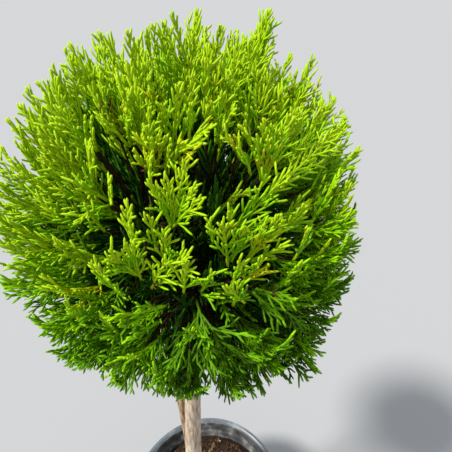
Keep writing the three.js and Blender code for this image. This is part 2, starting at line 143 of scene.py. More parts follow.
# From the cracks of the bark to its highest flakes
TRUNK_COLOURS = [(0.25, 0.17, 0.115), (0.36, 0.275, 0.20), (0.45, 0.365, 0.275), (0.56, 0.475, 0.38)]
STEM_COLOURS = [(0.12, 0.068, 0.036), (0.23, 0.150, 0.080), (0.33, 0.230, 0.130), (0.45, 0.335, 0.205)]
# The twigs' brown is deepened near to black as painted shade inside the crown
TWIG_COLOURS = [(0.012, 0.007, 0.003), (0.036, 0.019, 0.009)]

# Crown, by the same rule as the solids
CROWN_CENTRE = Vector((0, 0, 806))
CROWN_ACROSS = 147
CROWN_UP = 157
FOCUS = Vector((-2, 0, 758))
RINGS = [("top", 1, 0), ("upper", 5, 38), ("middle", 6, 72), ("lower", 6, 106)]  # count, degrees from upright
RING_UNEVENNESS = 0.1
POLAR_UNEVENNESS = 3
STEM_MASS = "middle_3"
FOOT_DISTANCE = 42
STEM_FOOT_DISTANCE = 52
CORE_SHARE = 0.54
BOUGH_RISE = 30
BOUGH_STAGGER = 5  # up and down by turns
BOUGH_BEND = 0.45
BOUGH_IN_CORE = (0.15, 0.8)  # from its mass's foot to the core's centre
BOUGH_RINGS = (14, 6)  # up to its mass's foot, and in the core
BOUGH_RADII = (3.8, 3.2, 1.8)  # at the trunk, at the mass's foot and in the core
BOUGH_SIDES = 16
SPRAY_COUNT = 196
SPRAY_TURN = 0.12
REACH_LONGEST = 1.05
REACH_SPREAD = 0.17
LONG_SHOOTS = [
    (63, -11, 161),
    (-66, -24, 143),
    (94, -13, 134),
    (120, -23, 96),
    (101, -121, -56),
    (62, -124, -78),
]

# Finer growth, by the same rule. A size that is a pair is the least one, and how much more at random
FINE_COUNT = 455
FINE_REACH = (1.03, 0.2)  # but a reach is the longest one, and how much less at random
FINE_TURN = 0.5
INNER_COUNT = 350
INNER_REACH = (0.8, 0.5)
DEEP_COUNT = 150
DEEP_REACH = (0.6, 0.3)
# Sprays beside each long shoot: how far out they reach, as shares of it, and the room about it
SHOOT_COMPANIONS = (0.95, 0.91, 0.86, 0.8)
COMPANION_ROOM = 8
OUTWARDS = (0.25, 0.75)  # how strongly sprays turn outwards
LIFT_HEIGHTS = (-1, -0.55, -0.3, 0.45, 1)  # in crown heights from its centre
LIFTS = (-0.6, -0.5, 0.7, 1, 0.5)  # how strongly sprays turn upwards there
SHOOT_LIFT = 0.3  # how much of that a long shoot has
WAY_STRAY = 0.3
PLUME_LENGTH = (56, 28)
CORD_RADIUS = 0.93
CORD_TIP_RADIUS = 0.68
INNER_CORD_RADIUS = 1.2
AXIS_THICKER = (1.15, 1.1)  # than the side cords, at its foot and its tip
BEAD_PITCH = 3
INNER_PITCH = 5
CORD_RINGS = (2, 60)  # the fewest and the most
LAST_RING = 0.45  # of a pitch before the cord's tip
TIP_TONE_FROM = 0.65  # of a cord's length, from where it takes its tip tone, a tone lighter on some cords as a painted highlight
# Side cords: where along a spray they begin, over how much of it they stand, and how unevenly
CORDS_ALONG = (0.1, 0.87, 0.35)
TWIGLETS_ALONG = (0.16, 0.78, 0.3)
CORD_SPACING = 3.6
INNER_SPACING = 4.6
SIDE_ANGLE = 28
ANGLE_CLOSES = 5  # by this much from a spray's foot to its tip
ANGLE_UNEVENNESS = 6
LENGTH_UNEVENNESS = 0.25
SIDE_TILT = 0.5
CORD_SWEEP = (0.78, 0.26)  # how far a side cord runs out and forwards
SHORT_CORD = (8.5, 8)  # its length at the tip of a spray, and how much more at the foot
LONG_CORD = (15, 18)
FAN_CORD = (5.5, 25)  # the long cords of a fan at the front
FULL_LENGTH = 56  # a shorter spray is narrower too
TWIGLET_SPACING = 5
TWIGLET_LENGTH = (8.5, 1.3, 0.5)  # this times a share at the foot, and how much less of it at the tip
TWIGLET_RADIUS = 0.95  # as a share of the side cord's
TWIGLET_BOW = 0.4

# Brown twigs: radii at the foot and the tip
BRANCH_RADII = (1.9, 1.1)
TWIG_RADII = (1.3, 0.95)
THIN_TWIG_RADII = (1.0, 0.8)
TWIG_PITCH = 7
TWIG_OVERLAP = 0.08  # how far up its spray a twig runs
BRANCH_END = 0.62  # from the fork to the tip of its leader
BRANCH_BEND = 0.25
INNER_JOINT = 0.35  # where on its branch a twig to an inner spray stands
OUTER_JOINT = (0.45, 0.4)
TWIG_AIM = (0.45, 0.3)  # from the fork to the tip of an outer and of an inner spray
TWIG_TURN = 0.35  # how much it turns that way
FAN_TWIG_BEND = 0.8
LEADER_SPACING = 48  # between the tips of the sprays that end a branch
LIMB_ROOM = 1.5  # kept clear round the trunk and the second stem

# Dark hollows between the sprays at the front, from the crown's centre, with their radius
HOLLOWS = [
    (-24, -95, 91, 15),
    (-20, -105, 78, 14),
    (-10, -110, 73, 6),
    (-23, -111, 67, 14),
    (-23, -116, 57, 11),
    (24, -95, 91, 8),
    (32, -96, 86, 16),
    (37, -99, 80, 15),
    (27, -103, 79, 12),
    (43, -101, 73, 9),
    (30, -110, 65, 7),
    (15, -118, 55, 8),
    (19, -123, 39, 9),
    (40, -123, 7, 10),
    (26, -126, 9, 8),
    (-1, -129, 3, 9),
]
HOLLOW_DEPTH = 45  # how far behind a hollow's place the sprays are left out too
# Fans that stand out at the front: foot and tip, from the crown's centre
FRONT_FANS = [
    ((-41, -92, 65), (-33, -104, 103)),
    ((4, -106, 55), (15, -112, 97)),
    ((4, -106, 55), (23, -121, 82)),
    ((4, -106, 55), (-3, -116, 88)),
    ((-16, -114, 24), (-14, -122, 58)),
    ((-15, -118, 45), (-13, -124, 83)),
    ((-16, -114, 26), (-23, -134, 60)),
    ((44, -106, 27), (63, -116, 70)),
    ((32, -105, 44), (68, -101, 88)),
    ((61, -81, 63), (113, -34, 92)),
    ((-8, -88, 83), (-3, -103, 112)),
    ((57, -78, 72), (53, -90, 112)),
    ((21, -60, 106), (23, -68, 138)),
    ((11, -117, -9), (-1, -142, -28)),
    ((15, -116, -9), (28, -139, -33)),
    ((27, -111, -31), (56, -133, -24)),
    ((35, -109, 30), (32, -125, 71)),
    ((43, -109, 16), (53, -127, 50)),
    ((-12, -117, 9), (-23, -143, 17)),
    ((28, -82, 53), (48, -89, 70)),
    ((-27, -114, 8), (-31, -134, 52)),
    ((65, -98, 0), (75, -119, 41)),
    ((16, -116, 10), (25, -143, 2)),
    ((63, -93, 38), (77, -105, 69)),
    ((-36, -102, 50), (-35, -121, 77)),
    ((58, -77, 72), (71, -72, 112)),
    ((79, -52, 74), (99, -32, 109)),
    ((93, -53, 53), (119, -21, 97)),
    ((55, -88, 59), (67, -103, 84)),
    ((89, -71, 31), (103, -75, 76)),
    ((105, -49, 19), (109, -74, 66)),
    ((47, -53, 100), (35, -71, 131)),
    ((-36, -60, 101), (-32, -74, 130)),
    ((-20, -75, 95), (-14, -87, 124)),
    ((14, -70, 100), (16, -78, 130)),
    ((-48, -67, 90), (-54, -87, 111)),
    ((11, -79, 92), (29, -99, 110)),
    ((28, -74, 93), (39, -88, 116)),
    ((-8, -91, 80), (-11, -107, 100)),
    ((-5, -90, 81), (4, -103, 105)),
    ((-3, -88, 83), (22, -103, 103)),
    ((-22, -77, 92), (-28, -93, 111)),
    ((-21, -77, 92), (-16, -92, 115)),
    ((-7, -86, 99), (-4, -91, 117)),
    ((56, -79, 72), (41, -92, 108)),
    ((27, -114, 50), (25, -124, 71)),
    ((34, -104, 45), (36, -120, 73)),
    ((-10, -116, 19), (5, -133, 53)),
    ((-5, -116, 23), (16, -132, 56)),
    ((10, -124, 23), (14, -133, 52)),
    ((50, -115, 15), (69, -125, 0)),
    ((52, -114, 17), (75, -120, 14)),
    ((37, -111, 35), (43, -122, 65)),
    ((42, -87, 88), (33, -99, 104)),
    ((-5, -94, 83), (-2, -104, 104)),
    ((52, -63, 97), (49, -75, 118)),
    ((76, -97, 24), (79, -107, 56)),
    ((1, -95, 84), (7, -104, 104)),
    ((3, -94, 86), (15, -104, 103)),
    ((-3, -80, 97), (3, -90, 118)),
    ((-7, -64, 109), (-6, -77, 128)),
    ((48, -88, 79), (40, -101, 99)),
    ((-28, -105, 69), (-22, -114, 89)),
    ((37, -119, 24), (41, -128, 50)),
    ((4, -104, 58), (6, -116, 89)),
    ((4, -104, 58), (19, -117, 85)),
    ((45, -121, 12), (35, -134, 35)),
    ((38, -123, 12), (40, -132, 39)),
    ((-40, -79, 90), (-35, -91, 111)),
    ((13, -80, 95), (16, -89, 118)),
    ((10, -119, -32), (9, -135, -47)),
    ((73, -102, -13), (101, -90, -51)),
    ((63, -107, -27), (83, -99, -65)),
    ((29, -73, 93), (32, -82, 120)),
    ((42, -72, 88), (45, -82, 115)),
    ((23, -76, 97), (25, -85, 119)),
    ((-7, -100, 78), (-2, -109, 98)),
    ((-2, -120, 9), (-27, -139, 19)),
    ((-6, -126, 2), (-22, -141, 3)),
    ((21, -125, -3), (46, -135, 1)),
    ((46, -111, 37), (53, -118, 64)),
    ((-44, -77, 90), (-39, -89, 111)),
    ((-1, -113, 34), (5, -128, 67)),
    ((-5, -111, 42), (-3, -125, 73)),
    ((20, -123, 21), (32, -136, 31)),
    ((20, -123, 23), (27, -133, 46)),
    ((-18, -114, 27), (-25, -131, 52)),
    ((-17, -113, 30), (-15, -130, 60)),
    ((49, -104, 29), (65, -118, 51)),
    ((-32, -96, 64), (-41, -121, 68)),
    ((-34, -94, 66), (-42, -111, 85)),
]
FAN_ROOM = 6  # kept clear in front of each
FAN_DEPTH = 4  # and this far behind it
FAN_BULGE = 5
# Golden fans, in the same form
GOLDEN_FANS = [
    ((-9, -88, 82), (-7, -100, 108)),
    ((-8, -88, 82), (1, -102, 107)),
    ((-8, -89, 81), (-3, -104, 104)),
    ((55, -80, 71), (49, -95, 101)),
    ((56, -79, 71), (56, -92, 100)),
]
# Fans with their feet near this place are golden too
GOLDEN_FOOT = Vector((-7, -90, 82))
GOLDEN_ROOM = 7
# Fans of the drooping branch at the lower right
LOW_FANS = [
    ((66, -76, -60), (100, -119, -57)),
    ((70, -84, -64), (93, -121, -64)),
    ((58, -84, -68), (82, -119, -70)),
    ((50, -90, -72), (62, -123, -78)),
    ((72, -76, -42), (107, -97, -45)),
    ((74, -76, -56), (105, -108, -54)),
]
# Sprays that close the crown behind each hollow, dark with the inner sprays' painted shade: depth, as a share
# of its place, room and count
BACKING_SHARE = 0.6
BACKING_ROOM = 12
BACKING_COUNT = 2
# A spray's habit: how far its flat side strays from facing outwards, over how much of it the side cords are
# long, their lengths, and how often its lower part is golden
PLUME_HABIT = (0.55, 0.65, LONG_CORD, 0.08)
FAN_HABIT = (0.3, 0.85, FAN_CORD, 0.08)
GOLDEN_HABIT = (0.3, 0.85, FAN_CORD, 1)
# Withered sprigs at the front, from the crown's centre
WITHERED_SPRIGS = [
    (-15, -108, 88),
    (23, -80, 116),
    (-44, -63, 120),
    (-3, -35, 141),
    (-11, -132, 38),
    (64, -119, 21),
    (42, -79, 110),
    (58, -65, 113),
    (-35, -74, 117),
]
SPRIG_DEPTH = 0.93
SPRIG_CORDS = 9
SPRIG_ROOM = 2.5
SPRIG_OUTWARDS = 0.4
SPRIG_LENGTH = (1.5, 3.5)
SPRIG_BEND = 1.5
SPRIG_RADII = (0.7, 0.45)

# Greens from the darkest, for painted shade inside the crown, to the lightest, for painted light on tips in
# full sun
GREENS = [
    (0.020, 0.082, 0.003),
    (0.041, 0.125, 0.003),
    (0.060, 0.157, 0.002),
    (0.091, 0.244, 0.002),
    (0.140, 0.350, 0.002),
    (0.240, 0.487, 0.003),
    (0.335, 0.533, 0.006),
    (0.358, 0.510, 0.010),
]
GOLDEN = len(GREENS)
GOLDEN_COLOUR = (0.43, 0.48, 0.006)
WITHERED = GOLDEN + 1
WITHERED_COLOUR = (0.10, 0.046, 0.010)
GOLDEN_HEIGHT = 30  # above the crown's centre, from where sprays can be golden
GOLDEN_SHARE = 0.55  # of a golden spray, from its foot
TIP_HIGHLIGHT_CHANCE = 0.4  # painted highlight: the share of the cords whose tips are a tone lighter
# A spray's place on the ladder of greens, counted from the darkest. It paints light and shade: lighter high
# up, darker low on the crown, as the key lamp falls from above
TONE_HEIGHTS = (-1, -0.4, -0.05, 0.4, 1)  # in crown heights from its centre
HEIGHT_LIGHT_TONES = (2.8, 3.1, 4.0, 6.7, 7.1)  # the usual place there
SUNNY_SIDE = 0.5  # painted light: how much lighter the left is, towards the key lamp
TONE_UNEVENNESS = 0.75
# Painted shade: sprays inside the crown, and those behind the hollows, take the darkest greens
INNER_SHADE_TONE = 0.6
INNER_UNEVENNESS = 0.8
SHADE_TO_LIGHT_RISE = 2.8  # painted shade at a spray's foot rising to painted light at its tip
TONE_MIDDLE = 0.62  # how far along a spray its cords have its own place
CORD_UNEVENNESS = 0.45

# Stage
FLOOR_SIZE = 40  # in metres
FLOOR_COLOUR = (0.295, 0.306, 0.326)
SKY_COLOUR = (0.96, 0.98, 1.0)
SKY_STRENGTH = 0.7
# Sun lamps: turn in degrees, strength, colour and width in degrees
LAMPS = {
    "key": ((38, 0, -66), 5.6, (1.0, 0.96, 0.88), 9),
    "back": ((48, 0, 168), 0.9, (1.0, 1.0, 0.96), 30),
}


class Draws:
    """The seeded sequence that the part's source uses too."""

    def __init__(self, seed):
        self.state = seed

    def next(self):
        self.state = self.state * 16807 % 2147483647
        return self.state / 2147483647

    def spread(self, amount):
        return (self.next() * 2 - 1) * amount

    def above(self, least, more):
        return least + more * self.next()


def bezier(start, bend, end, t):
    return start * (1 - t) ** 2 + bend * (2 * t * (1 - t)) + end * t**2


def bezier_way(start, bend, end, t):
    return ((bend - start) * (1 - t) + (end - bend) * t).normalized()


def stray(draws, amount):
    return Vector((draws.spread(amount), draws.spread(amount), draws.spread(amount)))


# Materials


def new_material(name, colour, roughness, specular=0.5):
    """A plain Principled material, and its shader and node tree."""
    material = bpy.data.materials.new(name)
    material.use_nodes = True
    shader = material.node_tree.nodes["Principled BSDF"]
    shader.inputs["Base Color"].default_value = (*colour, 1)
    shader.inputs["Roughness"].default_value = roughness
    shader.inputs["Specular IOR Level"].default_value = specular
    return material, shader, material.node_tree


def add_node(tree, kind, **values):
    """A shader node with values on its inputs."""
    node = tree.nodes.new(f"ShaderNode{kind}")
    for name, value in values.items():
        node.inputs[name].default_value = value
    return node


def add_bump(tree, shader, scale, strength, distance, detail=4):
    """Fine relief from noise in object coordinates, which are given back."""
    coordinates = add_node(tree, "TexCoord").outputs["Object"]
    texture = add_node(tree, "TexNoise", Scale=scale, Detail=detail)
    bump = add_node(tree, "Bump", Strength=strength, Distance=distance)
    tree.links.new(coordinates, texture.inputs["Vector"])
    tree.links.new(texture.outputs["Fac"], bump.inputs["Height"])
    tree.links.new(bump.outputs["Normal"], shader.inputs["Normal"])
    return coordinates


def add_colours(tree, shader, coordinates, scale, places, colours, stretch=(1, 1, 1), detail=5):
    """Base colour from noise through a ramp, with a colour at each place."""
    mapping = add_node(tree, "Mapping", Scale=stretch)
    texture = add_node(tree, "TexNoise", Scale=scale, Detail=detail)
    ramp = add_node(tree, "ValToRGB")
    stops = ramp.color_ramp.elements
    while len(stops) < len(places):
        stops.new(0.5)
    for stop, place, colour in zip(stops, places, colours):
        stop.position = place
        stop.color = (*colour, 1)
    tree.links.new(coordinates, mapping.inputs["Vector"])
    tree.links.new(mapping.outputs["Vector"], texture.inputs["Vector"])
    tree.links.new(texture.outputs["Fac"], ramp.inputs["Fac"])
    tree.links.new(ramp.outputs["Color"], shader.inputs["Base Color"])


def foliage_materials():
    """One plain colour for each tone, with a faint gloss and the relief of the scale leaves."""
    made = []
    for index, colour in enumerate([*GREENS, GOLDEN_COLOUR, WITHERED_COLOUR]):
        material, shader, tree = new_material(f"foliage_{index}", colour, 0.5, 0.08)
        add_bump(tree, shader, scale=900, strength=0.5, distance=0.0004, detail=2)
        made.append(material)
    return made


def twig_material():
    material, shader, tree = new_material("twig_bark", TWIG_COLOURS[1], 0.85, 0.1)
    coordinates = add_bump(tree, shader, scale=500, strength=0.6, distance=0.0004)
    add_colours(tree, shader, coordinates, 160, (0.35, 0.65), TWIG_COLOURS)
    return material


def bark_material(name, colours):
    """Scaly bark in small upright flakes."""
    material, shader, tree = new_material(name, colours[1], 0.82)
    coordinates = add_bump(tree, shader, scale=520, strength=0.8, distance=0.0008, detail=7)
    add_colours(tree, shader, coordinates, 340, (0.32, 0.44, 0.55, 0.68), colours, (1, 1, 0.16), 8)
    return material


def pot_material(name, colours, roughness, scale=26, upright=0.35):
    """Black nursery plastic, scuffed and dusty in patches; on the lip also a painted reflection of the sky.
    """
    material, shader, tree = new_material(name, colours[0], roughness)
    coordinates = add_bump(tree, shader, scale=650, strength=0.12, distance=0.0004)
    add_colours(tree, shader, coordinates, scale, (0.30, 0.52, 0.75), colours, (1, 1, upright), 9)
    return material


def soil_material(name, *colours):
    material, shader, tree = new_material(name, colours[0], 0.95, 0.15)
    coordinates = add_bump(tree, shader, scale=700, strength=0.9, distance=0.0008, detail=6)
    add_colours(tree, shader, coordinates, 210, (0.35, 0.68), colours, detail=8)
    return material


# Meshes


def new_object(name, data):
    """An object that is linked into the scene."""
    made = bpy.data.objects.new(name, data)
    bpy.context.scene.collection.objects.link(made)
    return made


def make_object(name, mesh, materials):
    """An object of the part that rides on its one body."""
    for material in materials:
        mesh.materials.append(material)
    made = new_object(name, mesh)
    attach(made, "root")
    return made


def mesh_from_arrays(name, points, triangles, tones=None, smooth=True):
    """A mesh from an array of corners in millimetres and an array of triangles."""
    mesh = bpy.data.meshes.new(name)
    mesh.vertices.add(len(points))
    mesh.vertices.foreach_set("co", (points * MM).astype(np.float32).ravel())
    mesh.loops.add(triangles.size)
    mesh.loops.foreach_set("vertex_index", triangles.astype(np.int32).ravel())
    mesh.polygons.add(len(triangles))
    mesh.polygons.foreach_set("loop_start", np.arange(0, triangles.size, 3, dtype=np.int32))
    mesh.polygons.foreach_set("use_smooth", np.full(len(triangles), smooth))
    if tones is not None:
        mesh.polygons.foreach_set("material_index", tones.astype(np.int32))
    mesh.update()
    mesh.validate()
    return mesh


def joined(lots):
    """Points, triangles and tones of several lots as one."""
    points, triangles, tones = zip(*lots)
    offsets = np.cumsum([0] + [len(lot) for lot in points])
    shifted = [lot + offset for lot, offset in zip(triangles, offsets)]
    return np.concatenate(points), np.concatenate(shifted), np.concatenate(tones)


def unit(vectors):
    return vectors / np.maximum(np.linalg.norm(vectors, axis=-1, keepdims=True), 1e-9)


def on_circle(radius, i, count):
    """The place numbered i of a count of them round a circle."""
    angle = 2 * math.pi * i / count
    return radius * math.cos(angle), radius * math.sin(angle)


class Cords:
    """Curved cords that are gathered one by one and become one mesh of closed, beaded, three-sided rods."""

    def __init__(self):
        self.rows = []

    def add(self, start, bend, end, radii, normal, tone=0, tip_tone=0):
        self.rows.append((*start, *bend, *end, *normal, *radii, tone, tip_tone))

    def arrays(self, pitch):
        """Points, triangles and tones of all the cords, with one ring to each pitch along them."""
        table = np.array(self.rows)
        start, bend, end = (table[:, i : i + 3] for i in (0, 3, 6))
        length = np.linalg.norm(bend - start, axis=1) + np.linalg.norm(end - bend, axis=1)
        rings = np.clip(np.round(length / pitch), *CORD_RINGS).astype(int)
        return joined([self.batch(table[rings == count], count) for count in np.unique(rings)])

    @staticmethod
    def batch(table, count):
        """Cords with the same count of rings. Each ring is a triangle, turned from the one before it."""
        a, b, c, normal = (table[:, None, i : i + 3] for i in (0, 3, 6, 9))
        foot_radius, tip_radius, tone, tip_tone = (table[:, i, None] for i in range(12, 16))
        t = np.linspace(0, 1 - LAST_RING / count, count)[None, :, None]
        middle = a * (1 - t) ** 2 + b * 2 * t * (1 - t) + c * t**2
        way = unit((b - a) * (1 - t) + (c - b) * t)
        side = unit(np.cross(normal, way))
        up = np.cross(way, side)
        radius = foot_radius * (1 - t[..., 0]) + tip_radius * t[..., 0]
        turn = np.arange(count)[:, None] * math.pi / 3 + np.arange(3) * 2 * math.pi / 3
        ring = (
            middle[:, :, None, :]
            + side[:, :, None, :] * (np.cos(turn)[None, :, :, None] * radius[:, :, None, None])
            + up[:, :, None, :] * (np.sin(turn)[None, :, :, None] * radius[:, :, None, None])
        )
        points = np.concatenate([ring.reshape(len(table), count * 3, 3), c], axis=1)
        faces, at_tip = [(0, 2, 1)], [False]
        for k in range(count - 1):
            for j in range(3):
                here, after = k * 3 + j, k * 3 + (j + 1) % 3
                faces += [(here, after, here + 3), (here + 3, after, after + 3)]
                at_tip += [k >= TIP_TONE_FROM * count] * 2
        last = (count - 1) * 3
        faces += [(last + j, last + (j + 1) % 3, count * 3) for j in range(3)]
        at_tip += [True] * 3
        step = np.arange(len(table))[:, None, None] * (count * 3 + 1)
        triangles = np.array(faces)[None] + step
        tones = np.where(np.array(at_tip)[None, :], tip_tone, tone)
        return points.reshape(-1, 3), triangles.reshape(-1, 3), tones.reshape(-1)


def limb_frames(points):
    """Ways along a line of points, and a side direction at each that turns as little as it can."""
    ways = unit(np.gradient(points, axis=0))
    side = unit(np.cross(ways[0], [0.0, 1.0, 0.0]))
    sides = []
    for way in ways:
        side = unit(side - way * np.dot(side, way))
        sides.append(side)
    return ways, np.array(sides)


def limb_mesh(name, points, radii, sides, relief):
    """A closed round limb through points, with relief(angle, run, radius, point) added to its radius."""
    points = np.asarray(points)
    ways, across = limb_frames(points)
    up = np.cross(ways, across)
    run = np.concatenate([[0], np.cumsum(np.linalg.norm(np.diff(points, axis=0), axis=1))])
    corners = []
    for k, point in enumerate(points):
        for j in range(sides):
            angle = 2 * math.pi * j / sides
            out = radii[k] + relief(angle, run[k], radii[k], point)
            corners.append(point + across[k] * math.cos(angle) * out + up[k] * math.sin(angle) * out)
    corners += [points[0], points[-1]]
    faces = []
    for k in range(len(points) - 1):
        for j in range(sides):
            a, b = k * sides + j, k * sides + (j + 1) % sides
            faces += [(a, b, b + sides), (a, b + sides, a + sides)]
    first, last = len(corners) - 2, len(corners) - 1
    end = (len(points) - 1) * sides
    for j in range(sides):
        faces += [(first, (j + 1) % sides, j), (last, end + j, end + (j + 1) % sides)]
    return mesh_from_arrays(name, np.array(corners), np.array(faces))


def catmull(path, count):
    """Points and radii spread evenly along a smooth curve through a path of (x, y, z, radius)."""
    nodes = np.array(path, dtype=float)
    padded = np.vstack([2 * nodes[0] - nodes[1], nodes, 2 * nodes[-1] - nodes[-2]])
    fine = []
    for i in range(len(nodes) - 1):
        p0, p1, p2, p3 = padded[i : i + 4]
        for t in np.linspace(0, 1, 40, endpoint=False):
            square = (2 * p0 - 5 * p1 + 4 * p2 - p3) * t**2
            cube = (3 * p1 - p0 - 3 * p2 + p3) * t**3
            fine.append(0.5 * (2 * p1 + (p2 - p0) * t + square + cube))
    fine.append(nodes[-1])
    fine = np.array(fine)
    run = np.concatenate([[0], np.cumsum(np.linalg.norm(np.diff(fine[:, :3], axis=0), axis=1))])
    places = np.linspace(0, run[-1], count)
    even = np.array([np.interp(places, run, fine[:, i]) for i in range(4)]).T
    return even[:, :3], even[:, 3]


# Growth of the crown


def outline_from(to):
    """How far the crown's outline lies from the fork in a direction."""
    scale = Vector((1 / CROWN_ACROSS, 1 / CROWN_ACROSS, 1 / CROWN_UP))
    way = to * scale
    start = (FOCUS - CROWN_CENTRE) * scale
    a, b = way.length_squared, way.dot(start)
    return (-b + math.sqrt(b * b - a * (start.length_squared - 1))) / a


def outside(point):
    """How far out a point lies, as a share of the crown's outline."""
    x, y, z = point - CROWN_CENTRE
    return math.sqrt((x / CROWN_ACROSS) ** 2 + (y / CROWN_ACROSS) ** 2 + (z / CROWN_UP) ** 2)


def mass_directions(draws):
    masses = []
    for ring, count, polar in RINGS:
        for i in range(count):
            turn = (i + polar / 90 + draws.spread(RING_UNEVENNESS)) * (2 * math.pi / count)
            tilt = math.radians(polar + (draws.spread(POLAR_UNEVENNESS) if count > 1 else 0))
            to = Vector((math.sin(tilt) * math.cos(turn), math.sin(tilt) * math.sin(turn), math.cos(tilt)))
            name = f"{ring}_{i + 1}" if count > 1 else ring
            reach = STEM_FOOT_DISTANCE if name == STEM_MASS else FOOT_DISTANCE
            masses.append(
                {
                    "name": name,
                    "to": to,
                    "foot": FOCUS + to * reach,
                    "core": FOCUS + to * CORE_SHARE * outline_from(to),
                    **{growth: [] for growth in ("tips", "fans", "sprigs", "extras", "backing")},
                }
            )
    return masses


def lattice_tips(draws, count, longest, spread, unevenness):
    """Tips spread evenly round the crown. Their reach is a share of the way to its outline."""
    tips = []
    golden = math.pi * (3 - math.sqrt(5))
    for i in range(count):
        height = 1 - 2 * (i + 0.5) / count
        across = math.sqrt(1 - height * height)
        turn = i * golden + draws.spread(unevenness)
        reach = longest - spread * draws.next() ** 1.5
        out = CROWN_ACROSS * across
        place = Vector((out * math.cos(turn), out * math.sin(turn), CROWN_UP * height))
        tips.append(CROWN_CENTRE + place * reach)
    return tips


def spray_tips(draws):
    """The tips of the solids' sprays, and then the finer ones between them and inside."""
    tips = [CROWN_CENTRE + Vector(shoot) for shoot in LONG_SHOOTS]
    tips += lattice_tips(draws, SPRAY_COUNT, REACH_LONGEST, REACH_SPREAD, SPRAY_TURN)
    tips += lattice_tips(draws, FINE_COUNT, *FINE_REACH, FINE_TURN)
    for shoot in LONG_SHOOTS:
        for share in SHOOT_COMPANIONS:
            tips.append(CROWN_CENTRE + Vector(shoot) * share + stray(draws, COMPANION_ROOM))
    inner = lattice_tips(draws, INNER_COUNT, *INNER_REACH, FINE_TURN)
    inner += lattice_tips(draws, DEEP_COUNT, *DEEP_REACH, FINE_TURN)
    return tips, inner


def nearest_mass(masses, tip):
    way = (tip - FOCUS).normalized()
    return max(masses, key=lambda mass: mass["to"].dot(way))


def kept_inside(start, end, most):
    """The end of a cord, drawn back along it until it lies inside the crown's reach, or None."""
    for share in (1, 0.85, 0.7, 0.55, 0.4):
        point = start.lerp(end, share)
        if outside(point) <= most:
            return point
    return None


def spray_tone(draws, tip, inner):
    """A spray's place on the ladder of greens, which paints light and shade: higher up the crown and on its
    left it is lighter, and inside the crown it is darkest.
    """
    if inner:
        return INNER_SHADE_TONE + draws.spread(INNER_UNEVENNESS)
    from_centre = tip - CROWN_CENTRE
    by_height = float(np.interp(from_centre.z / CROWN_UP, TONE_HEIGHTS, HEIGHT_LIGHT_TONES))
    return by_height - SUNNY_SIDE * from_centre.x / CROWN_ACROSS + draws.spread(TONE_UNEVENNESS)


def tone_at(draws, tone, share):
    """The tone of a cord that leaves its spray at a share of the length, where 0 is the foot in painted shade
    and the tip has painted light.
    """
    place = tone + SHADE_TO_LIGHT_RISE * (share - TONE_MIDDLE) + draws.spread(CORD_UNEVENNESS)
    return int(min(len(GREENS) - 2, max(0, place)))


def growing_way(draws, tip):
    """The direction in which a spray ends: outwards, and upwards or, low on the crown, drooping."""
    outwards = draws.above(*OUTWARDS)
    lift = np.interp((tip.z - CROWN_CENTRE.z) / CROWN_UP, LIFT_HEIGHTS, LIFTS)
    if outside(tip) > REACH_LONGEST:
        outwards, lift = 1, lift * SHOOT_LIFT
    way = (tip - FOCUS).normalized() * outwards + Vector((0, 0, lift)) + stray(draws, WAY_STRAY)
    return way.normalized()


def plume_line(draws, core, tip):
    """The foot and the bend of a spray's axis, which leaves its twig and turns the way it grows."""
    length = draws.above(*PLUME_LENGTH)
    bend = tip - growing_way(draws, tip) * length * 0.5
    inwards = core - bend
    return bend + inwards.normalized() * min(length * 0.5, inwards.length * 0.9), bend


def side_places(draws, line, plane, count, along):
    """Places for side cords by turns left and right: share of the line, place, way along and way aside."""
    first, run, unevenness = along
    for k in range(count):
        share = first + run * (k + 0.5 + draws.spread(unevenness)) / count
        way = bezier_way(*line, share)
        side = plane.cross(way).normalized() * (1 if k % 2 else -1)
        yield share, bezier(*line, share), way, (side + plane * draws.spread(SIDE_TILT)).normalized()


def leaning(way, side, degrees):
    """The direction that leans from a way to one side."""
    angle = math.radians(degrees)
    return way * math.cos(angle) + side * math.sin(angle)


def grow_plume(cords, draws, line, inner, habit):
    """A feathery spray: side cords left and right of an axis, of which the long ones bear short cords."""
    root, bend, tip = line
    turn, long_part, long_cord, golden_part = habit
    way_out = (tip - bend).normalized()
    length = (bend - root).length + (tip - bend).length
    flat = (tip - FOCUS).normalized() + stray(draws, turn)
    plane = (flat - way_out * flat.dot(way_out)).normalized()
    radii = (INNER_CORD_RADIUS if inner else CORD_RADIUS, CORD_TIP_RADIUS)
    tone = spray_tone(draws, tip, inner)
    golden = not inner and draws.next() < golden_part and tip.z > CROWN_CENTRE.z + GOLDEN_HEIGHT
    most = max(outside(tip), 1)
    axis_tone = tone_at(draws, tone, 0.5)
    axis_radii = [radius * thicker for radius, thicker in zip(radii, AXIS_THICKER)]
    # The axis's tip is a tone lighter: a painted highlight
    cords.add(root, bend, tip, axis_radii, plane, axis_tone, axis_tone + 1)
    count = round(length * CORDS_ALONG[1] / (INNER_SPACING if inner else CORD_SPACING))
    width = min(1, length / FULL_LENGTH)
    for k, (share, at, way, side) in enumerate(side_places(draws, line, plane, count, CORDS_ALONG)):
        is_long = inner or (share < long_part and k % 4 < 2)
        least, more = long_cord if is_long else SHORT_CORD
        reach = (least + more * (1 - share)) * (1 + draws.spread(LENGTH_UNEVENNESS)) * width
        out = leaning(way, side, SIDE_ANGLE - ANGLE_CLOSES * share + draws.spread(ANGLE_UNEVENNESS))
        end = kept_inside(at, at + out * reach * CORD_SWEEP[0] + way * reach * CORD_SWEEP[1], most)
        if end is None:
            continue
        elbow = at + out * (end - at).length * 0.5
        cord_tone = tone_at(draws, tone, share)
        body = GOLDEN if golden and share < GOLDEN_SHARE else cord_tone
        # Some tips are a tone lighter: a painted highlight
        tip_tone = cord_tone + (draws.next() < TIP_HIGHLIGHT_CHANCE)
        cords.add(at, elbow, end, radii, plane, body, tip_tone)
        if is_long and not inner:
            grow_twiglets(cords, draws, (at, elbow, end), plane, body, cord_tone, most)


